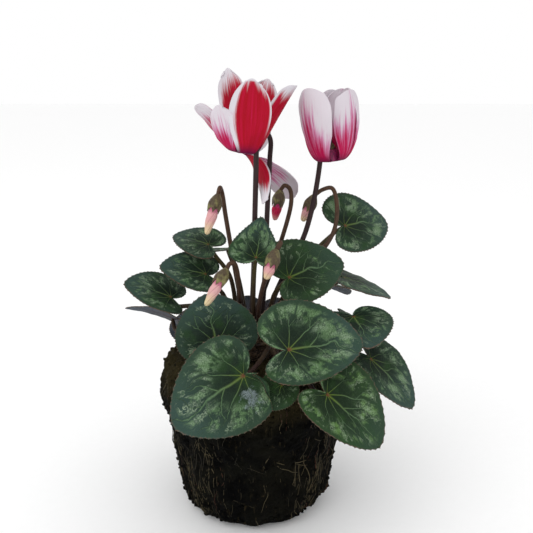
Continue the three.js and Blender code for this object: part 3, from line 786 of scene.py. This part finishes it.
# White is how far the margins are pale, side which of the two is paler, red how red the inside is
usualPetal = {
    "length": 38, "width": 18, "widest": 0.58, "blunt": 0,
    "lean": 12, "bend": 4, "twist": 20, "cup": 0.18, "shift": 0,
    "white": 0.12, "side": 0.0, "red": 1.0,
}
flowers = [
    {"mouth": (-4.6, -10, 194), "axis": (0.08, -0.04, 1), "stalkSide": -27, "reach": 6.2,
     "foot": (3.5, -120), "by": [(0, -6, 130), (0.8, -8.4, 160)],
     "petals": [
         {"length": 40, "width": 19, "lean": 24, "bend": 6, "twist": -22, "cup": 0.7, "side": -1.0},
         {"length": 40, "width": 17, "lean": 20, "twist": 10, "shift": -22},
         {"length": 43, "width": 13.5, "lean": 5, "bend": 25, "twist": -42, "cup": 0.1, "shift": -31,
          "widest": 0.7, "white": 0.1, "side": -0.4},
         {"length": 25, "width": 15, "lean": 26, "bend": -10, "twist": 34, "cup": 0.25, "shift": -12,
          "widest": 0.62, "white": 0.5},
         {"length": 37, "width": 20, "lean": 4, "bend": -8, "twist": -16, "cup": 0.05, "shift": -1,
          "white": 0.0, "side": 1.0},
     ]},
    {"mouth": (-6, 14, 191), "axis": (0.5, 0.12, 0.86), "stalkSide": -15, "reach": 10,
     "foot": (3.5, 0), "by": [(6, 4, 130), (7, 5, 160)],
     "petals": [
         {"length": 41, "width": 13, "lean": 82, "bend": 30, "twist": 108, "cup": 0.4, "shift": -2,
          "widest": 0.74, "white": 0.7},
         {"length": 30, "lean": 30, "shift": -10},
         {"length": 31, "width": 15, "lean": 58, "bend": 24, "twist": 30, "shift": 11,
          "blunt": 0.2, "white": 0.42},
         {"length": 23, "width": 14, "lean": 38, "twist": -100, "cup": 0.1, "shift": -34, "red": 0.0},
         {"length": 36, "width": 11, "lean": 88, "bend": 57, "twist": -72, "cup": 0.3, "shift": 12,
          "white": 0.2, "side": -1.0},
     ]},
    {"mouth": (40, 6, 188), "axis": (-0.1, 0, 1), "stalkSide": 132, "reach": 6.8,
     "foot": (5, 30), "by": [(13, 6, 120), (27.5, 9, 150)],
     "petals": [
         {"length": 41, "width": 21.5, "lean": 30, "bend": -40, "twist": -4, "cup": 0.4, "shift": 46,
          "widest": 0.7, "blunt": 0.45, "white": 0.56},
         {"width": 17.5, "lean": 30, "bend": -40, "twist": -18, "cup": 0.45, "shift": 80,
          "widest": 0.66, "blunt": 0.4, "white": 0.6},
         {"width": 17, "blunt": 0.3, "lean": 22, "bend": -32, "cup": 0.3, "shift": 58, "white": 0.5},
         {"width": 18, "blunt": 0.3, "lean": 24, "bend": -32, "cup": 0.3, "shift": 30, "white": 0.5},
         {"width": 17, "blunt": 0.3, "lean": 24, "bend": -32, "cup": 0.35, "shift": -8, "white": 0.5},
     ]},
]


def petalMaterial(name, inner=False):
    material, wire = newMaterial(name)
    across, along, side = stored(wire, "petalPlace", "Vector").parts()
    seed, white, red = stored(wire, "petalLook", "Vector").parts()
    streaks = wire.place(across * 7.5, along * 1.1, seed).cloud(1.0, 5, 0.7)
    fine = wire.place(across * 23, along * 3.0, seed).cloud(1.0, 3, 0.7)
    broad = wire.place(across * 1.1, along * 1.2, seed + 4).cloud(1.0, 1, 0.5)
    ragged = (streaks - 0.5) * 0.6 + (fine - 0.5) * 0.3 + (broad - 0.5) * 0.7
    margin = abs(across)
    pale = (margin - across * side * 0.4 + ragged + along * 0.35 + white * 0.3).rise(0.98, 1.2)
    tip = (along + ragged * 0.75 + white * 0.5 - 0.08 * (1 - margin)).rise(0.76, 0.98)
    rim = margin.rise(0.88, 0.97) * along.rise(0.25, 0.6)
    pale = pale.most(tip).most(rim).most(along.rise(0.955, 0.985))

    body = streaks.rise(0.3, 0.62).mix(colour(176, 9, 50), colour(158, 4, 27))
    body = (broad.rise(0.5, 0.7) * 0.5).mix(body, colour(134, 2, 24))
    cream = white.mix(colour(208, 204, 210), colour(210, 199, 207))
    if inner:
        veined = (streaks.rise(0.42, 0.7) * (1.1 - along)).mix(colour(204, 160, 174), colour(170, 34, 96))
        body = red.mix(veined, body)
    base = pale.mix(body, cream)

    # A pale petal: stained in streaks that rise from its base
    rising = along + (streaks - 0.5) * 1.6 + (broad - 0.5) * 1.1 + (margin - 0.5) * 0.2 + white * 1.2 - 0.66
    stained = rising.rise(0.15, 0.6).mix(colour(174, 14, 70), colour(196, 128, 166))
    stained = rising.rise(0.4, 0.8).mix(stained, cream)
    base = white.rise(0.35, 0.5).mix(base, stained)
    blush = fine.rise(0.55, 0.8) * (1 - along.rise(0.4, 0.9)) * 0.3
    base = blush.mix(base, colour(186, 36, 104))
    base = (1 - (along + fine * 0.06).rise(0.05, 0.24)).mix(base, colour(92, 8, 58))
    height = streaks * 0.7 + fine * 0.5
    finishMaterial(wire, base, 0.6 + 0.12 * fine, height, 0.08, {"Specular IOR Level": 0.12})
    return material


def petalHalfWidth(petal, share):
    widest = petal["widest"]
    half = petal["width"] / 2
    if share < widest:
        return half * (0.3 + 0.7 * math.sin(math.pi / 2 * share / widest))
    return half * math.sqrt(1 - (0.88 - petal["blunt"]) * ((share - widest) / (1 - widest)) ** 2)


def petalLine(petal):  # stations along the middle of the petal: radius, height, angle from upright, share
    r, z = flowerMake["petalFoot"]
    steps = flowerMake["rowSteps"]
    lean = petal["lean"]

    def angleAt(share):
        folded = (flowerMake["foldAngle"] - lean) * math.exp(-share / flowerMake["foldReach"])
        return radians(lean + petal["bend"] * share + folded)

    line = [(r, z, angleAt(0), 0)]
    for low, high in zip(flowerMake["rows"], flowerMake["rows"][1:]):
        for k in range(1, steps + 1):
            share = low + (high - low) * k / steps
            step = petal["length"] * (high - low) / steps
            r += step * math.sin(angleAt(share))
            z += step * math.cos(angleAt(share))
            line.append((r, z, angleAt(share), share))
    return line


def petalSheet(petal, turn, seed):
    line = petalLine(petal)
    bm = bmesh.new()
    rows = len(line) - 1
    bmesh.ops.create_grid(bm, x_segments=flowerMake["columns"], y_segments=rows, size=1)
    spot = bm.verts.layers.float_vector.new("petalPlace")
    look = bm.verts.layers.float_vector.new("petalLook")
    for vert in bm.verts:
        u = vert.co.x
        r, z, angle, share = line[round((vert.co.y + 1) / 2 * rows)]
        vert[spot] = (u, share, petal["side"])
        vert[look] = (seed, petal["white"], petal["red"])
        along = Vector((math.sin(angle), 0, math.cos(angle)))
        twist = radians(petal["twist"] * min(1, share / 0.35))
        side = Matrix.Rotation(twist, 3, along) @ Vector((0, 1, 0))
        outward = side.cross(along)
        half = petalHalfWidth(petal, share)
        wave = math.sin(share * 13 + u * 2 + seed)
        ruffle = flowerMake["ruffle"] * abs(u) ** 2 * between(share, 0.3, 0.8) * wave
        ribs = 0.05 * math.sin(u * 17 + seed) * between(share, 0.05, 0.3) * between(share, 0.95, 0.7)
        p = Vector((r, 0, z)) + side * u * half
        p += outward * (ruffle + ribs - petal["cup"] * min(1, share / 0.4) * u * u * half)
        vert.co = p - along * 0.07 * petal["length"] * share**3 * u * u
    bm.normal_update()
    inside = bm.verts[:]
    outside = set(partsOf(bmesh.ops.extrude_face_region(bm, geom=bm.faces[:]), bmesh.types.BMFace))
    for vert in inside:
        vert.co -= vert.normal * flowerMake["petalThickness"]
    for part in bm.faces:
        part.material_index = 0 if part in outside else 1
    bmesh.ops.rotate(bm, matrix=Matrix.Rotation(radians(turn), 3, "Z"), verts=bm.verts[:])
    return bm


def tubeMaterial(name):
    material, wire = newMaterial(name)
    at = objectPlace(wire)
    lines = at.stretch(1, 1, 0.3).cloud(1200, 3, 0.6)
    base = lines.rise(0.35, 0.65).mix(colour(96, 16, 64), colour(150, 30, 88))
    finishMaterial(wire, base, 0.45 + 0.15 * lines, lines, 0.15)
    return material


def calyxMaterial(name):
    material, wire = newMaterial(name)
    at = objectPlace(wire)
    lines = at.stretch(1, 1, 0.25).cloud(1300, 4, 0.65)
    patches = at.cloud(260, 2, 0.5)
    base = patches.rise(0.45, 0.65).mix(colour(82, 70, 50), colour(122, 118, 72))
    base = (lines.rise(0.42, 0.66) * 0.7).mix(base, colour(58, 44, 34))
    finishMaterial(wire, base, 0.5 + 0.15 * lines, lines + patches * 0.5, 0.2, {"Specular IOR Level": 0.3})
    return material


def sepalCup(profile, tips):  # a calyx whose lip is cut into five points
    bm = turnedShape(profile, 60)
    low, high = tips
    lip = profile[-1][1]
    first = profile[0][1]
    for vert in bm.verts:
        turn = math.atan2(vert.co.y, vert.co.x)
        point = 1 - abs(math.sin(2.5 * turn))
        reach = (vert.co.z - first) / (lip - first)
        grown = low + (high - low) * point
        vert.co.z = first + (vert.co.z - first) * (1 + (grown - 1) * reach)
        keel = 1 + 0.07 * math.cos(5 * turn) * reach
        vert.co.x *= keel
        vert.co.y *= keel
    bmesh.ops.solidify(bm, geom=bm.faces[:], thickness=0.35)
    return bm


def flowerPlace(flower):
    tilt = up.rotation_difference(Vector(flower["axis"]).normalized())
    return Matrix.Translation(flower["mouth"]) @ tilt.to_matrix().to_4x4()


def buildFlower(k, flower, petalLooks, stalkLooks):
    place = flowerPlace(flower)
    bm = turnedShape(smoothProfile(flowerMake["tube"], 4), 48)
    for part in bm.faces:
        part.material_index = 2
    for n, petal in enumerate(flower["petals"]):
        whole = {**usualPetal, **petal}
        spacing = flowerMake["petalSpacing"]
        turn = flower["stalkSide"] + spacing * (n + 0.5) + (360 - 5 * spacing) / 2 + whole["shift"]
        join(bm, petalSheet(whole, turn, 5 * k + 1.37 * n + 1))
    bmesh.ops.transform(bm, matrix=place, verts=bm.verts[:])
    finishPiece(f"bloom_{k + 1}", bm, petalLooks, f"flower_{k + 1}")

    side = radians(flower["stalkSide"])
    end = place @ Vector((0, 0, flowerMake["hookShoulder"]))
    shoulder = end + Vector((math.cos(side), math.sin(side), 0)) * flower["reach"]
    apex = end.lerp(shoulder, 0.5) + up * flower["reach"] / 2
    below = shoulder - up * (flowerMake["hookShoulder"] + 2)
    inside = place @ Vector((0, 0, flowerMake["hookShoulder"] - 1.5))
    stops = [footAt(flower["foot"]), *(Vector(p) for p in flower["by"]), below, shoulder, apex, end, inside]
    route = routeThrough(stops, 10)
    bm = sweep(route, stalkRadii(route, flowerMake["stalkRadius"]), 14)
    cup = sepalCup(flowerMake["calyx"], (0.9, 1.5))
    bmesh.ops.transform(cup, matrix=place, verts=cup.verts[:])
    join(bm, cup, 1)
    finishPiece(f"flowerStem_{k + 1}", bm, stalkLooks, f"flower_stalk_{k + 1}")


def buildFlowers():
    petalLooks = [
        petalMaterial("petalOutside"),
        petalMaterial("petalInside", inner=True),
        tubeMaterial("corollaTube"),
    ]
    stalkLooks = [
        stalkMaterial("flowerStalk", colour(40, 28, 24), colour(50, 33, 34), colour(26, 18, 20)),
        calyxMaterial("flowerCalyx"),
    ]
    for k, flower in enumerate(flowers):
        buildFlower(k, flower, petalLooks, stalkLooks)


buildFlowers()
print("flowers built")


# Buds: petals still furled in a spiral, hanging from a calyx at the end of a hooked stalk
budMake = {
    "stalkRadius": 1.15,
    "radius": 2.7,
    "start": -3.0,  # inside the calyx
    "twist": 9,  # degrees in a millimetre
    "calyxLength": 8.5,
    "calyxRadius": 3.5,
}
buds = [
    {"foot": (6, -130), "by": [(-7, -9, 114), (-8, -18.5, 136), (-9.5, -21.5, 141), (-11.5, -22.3, 140.8)],
     "end": (-12.8, -23, 138.4), "tip": (-23.8, -31, 120.6), "length": 12.5, "red": 0.0},
    {"foot": (6, -75), "by": [(3.5, -13, 120), (9.5, -24, 144), (13.4, -28.5, 152.6), (13.2, -31, 153.4)],
     "end": (11.4, -32, 150.4), "tip": (5.5, -38, 134.8), "length": 6.5, "red": 0.15},
    {"foot": (6, 140), "by": [(-9, 2, 125), (-14.5, 2, 160), (-16, 0.5, 172), (-16.8, -3.5, 175.6)],
     "end": (-17.6, -7, 172.6), "tip": (-23.6, -13, 152.8), "length": 12.5, "red": 0.1},
    {"foot": (7, 110), "by": [(10, 12, 130), (20, 16, 165), (19, 17, 172), (16.5, 17.5, 173.5)],
     "end": (14.2, 17.5, 171), "tip": (11, 18, 154), "length": 8.5, "red": 1.0},
    {"foot": (8, 5),
     "by": [(23, 1, 124), (42.5, 9.5, 150), (44, 14, 166), (41.5, 15.5, 172.4), (36.5, 16, 171.4)],
     "end": (32.4, 16, 168.4), "tip": (26, 15.5, 154), "length": 7, "red": 0.1},
]


def budMaterial(name):
    material, wire = newMaterial(name)
    around, along, _ = wire.node("UVMap", {"uv_map": "bud"}).parts()
    red = stored(wire, "budRed")
    lines = wire.place(around * 22, along * 1.5, 0).cloud(1.0, 4, 0.65)
    fold = abs(around * 5 - (around * 5).maths("ROUND", around * 5)).near(0.12)
    reach = along + lines * 0.4 - 0.2
    base = reach.rise(0.3, 0.9).mix(colour(212, 164, 164), colour(212, 194, 152))
    flushed = reach.rise(0.45, 1).mix(colour(176, 26, 66), colour(206, 150, 144))
    base = red.mix(base, flushed)
    foot = (lines.rise(0.45, 0.75) * 0.7 + 0.5) * (1 - reach.rise(0.0, 0.16))
    base = foot.mix(base, colour(184, 62, 122))
    base = (lines.rise(0.5, 0.75) * 0.12).mix(base, colour(186, 100, 118))
    base = (fold * 0.22).mix(base, colour(160, 96, 96))
    finishMaterial(wire, base, 0.55 + 0.12 * lines, lines - fold, 0.2, {"Specular IOR Level": 0.15})
    return material


def furledBud(length, red):
    r = budMake["radius"]
    start = budMake["start"]
    profile = smoothProfile(
        [(0, start), (r * 0.6, start), (r * 0.86, 0), (r * 0.96, length * 0.2), (r * 0.86, length * 0.48),
         (r * 0.64, length * 0.74), (r * 0.4, length * 0.93), (0, length)], 6
    )
    bm = turnedShape(profile, 90)
    uv = bm.loops.layers.uv.new("bud")
    for loop, turn in turnsAbout(bm):
        loop[uv].uv = (turn / (2 * math.pi) + 0.5, loop.vert.co.z / length)
    for vert in bm.verts:
        turn = math.atan2(vert.co.y, vert.co.x)
        step = (turn / (2 * math.pi) * 5 + 0.5) % 1
        r = vert.co.xy.length * (0.93 + 0.16 * step - 0.1 * between(step, 0.88, 1))
        turn += radians(budMake["twist"]) * vert.co.z
        vert.co = Vector((r * math.cos(turn), r * math.sin(turn), vert.co.z + budMake["calyxLength"]))
    look = bm.verts.layers.float.new("budRed")
    for vert in bm.verts:
        vert[look] = red
    return bm


def buildBud(k, bud, budLook, stalkLooks):
    end = Vector(bud["end"])
    hang = (Vector(bud["tip"]) - end).normalized()
    place = Matrix.Translation(end) @ up.rotation_difference(hang).to_matrix().to_4x4()
    bm = furledBud(bud["length"], bud["red"])
    bmesh.ops.transform(bm, matrix=place, verts=bm.verts[:])
    finishPiece(f"furledBud_{k + 1}", bm, [budLook], f"bud_{k + 1}")

    route = routeThrough([footAt(bud["foot"]), *(Vector(p) for p in bud["by"]), end], 12)
    bm = sweep(route, stalkRadii(route, budMake["stalkRadius"], 1.1, 0.15), 12)
    r, length = budMake["calyxRadius"], budMake["calyxLength"]
    cupProfile = [(0.5, -0.6), (1.3, 0), (r * 0.74, length * 0.25), (r, length * 0.58), (r * 0.82, length)]
    cup = sepalCup(smoothProfile(cupProfile, 5), (0.84, 1.12))
    bmesh.ops.transform(cup, matrix=place, verts=cup.verts[:])
    join(bm, cup, 1)
    finishPiece(f"budStem_{k + 1}", bm, stalkLooks, f"bud_stalk_{k + 1}")


def buildBuds():
    budLook = budMaterial("furledPetals")
    stalkLooks = [
        stalkMaterial("budStalk", colour(44, 29, 25), colour(80, 58, 42), colour(34, 22, 22)),
        calyxMaterial("budCalyx"),
    ]
    for k, bud in enumerate(buds):
        buildBud(k, bud, budLook, stalkLooks)


buildBuds()
print("buds built")


# Pale floor and soft light
studio = {
    "floor": 6.0,
    "sky": 1.0,
    "keyPower": 5.0,
    "keySize": 1.2,
    "keyPlace": (-0.7, -0.9, 1.1),
    "keyAim": (0, 0, 0.12),
}


def buildStudio():
    bm = bmesh.new()
    bmesh.ops.create_grid(bm, x_segments=2, y_segments=2, size=studio["floor"])
    mesh = bpy.data.meshes.new("floor")
    bm.to_mesh(mesh)
    bm.free()
    material, wire = newMaterial("floorPaper")
    at = objectPlace(wire)
    fleck = at.cloud(200, 2, 0.5)
    base = fleck.mix(colour(250, 250, 250), colour(253, 253, 253))
    finishMaterial(wire, base, 0.9 + 0.05 * fleck, fleck, 0.05)
    mesh.materials.append(material)
    floor = bpy.data.objects.new("floor", mesh)
    bpy.context.scene.collection.objects.link(floor)
    floor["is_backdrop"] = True

    key = bpy.data.objects.new("key", bpy.data.lights.new("key", "AREA"))
    key.data.energy = studio["keyPower"]
    key.data.size = studio["keySize"]
    key.location = studio["keyPlace"]
    aim = Vector(studio["keyAim"]) - key.location
    key.rotation_euler = aim.to_track_quat("-Z", "Y").to_euler()
    bpy.context.scene.collection.objects.link(key)

    world = bpy.data.worlds.new("studio")
    world.use_nodes = True
    sky = world.node_tree.nodes["Background"]
    sky.inputs["Color"].default_value = (1, 1, 1, 1)
    sky.inputs["Strength"].default_value = studio["sky"]
    bpy.context.scene.world = world
    bpy.context.scene.view_settings.view_transform = "Standard"


buildStudio()
print("studio lit")

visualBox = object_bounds()
boxes = {"cad": cadBox, "visual": visualBox}
{name: [list(corner) for corner in box] for name, box in boxes.items()}
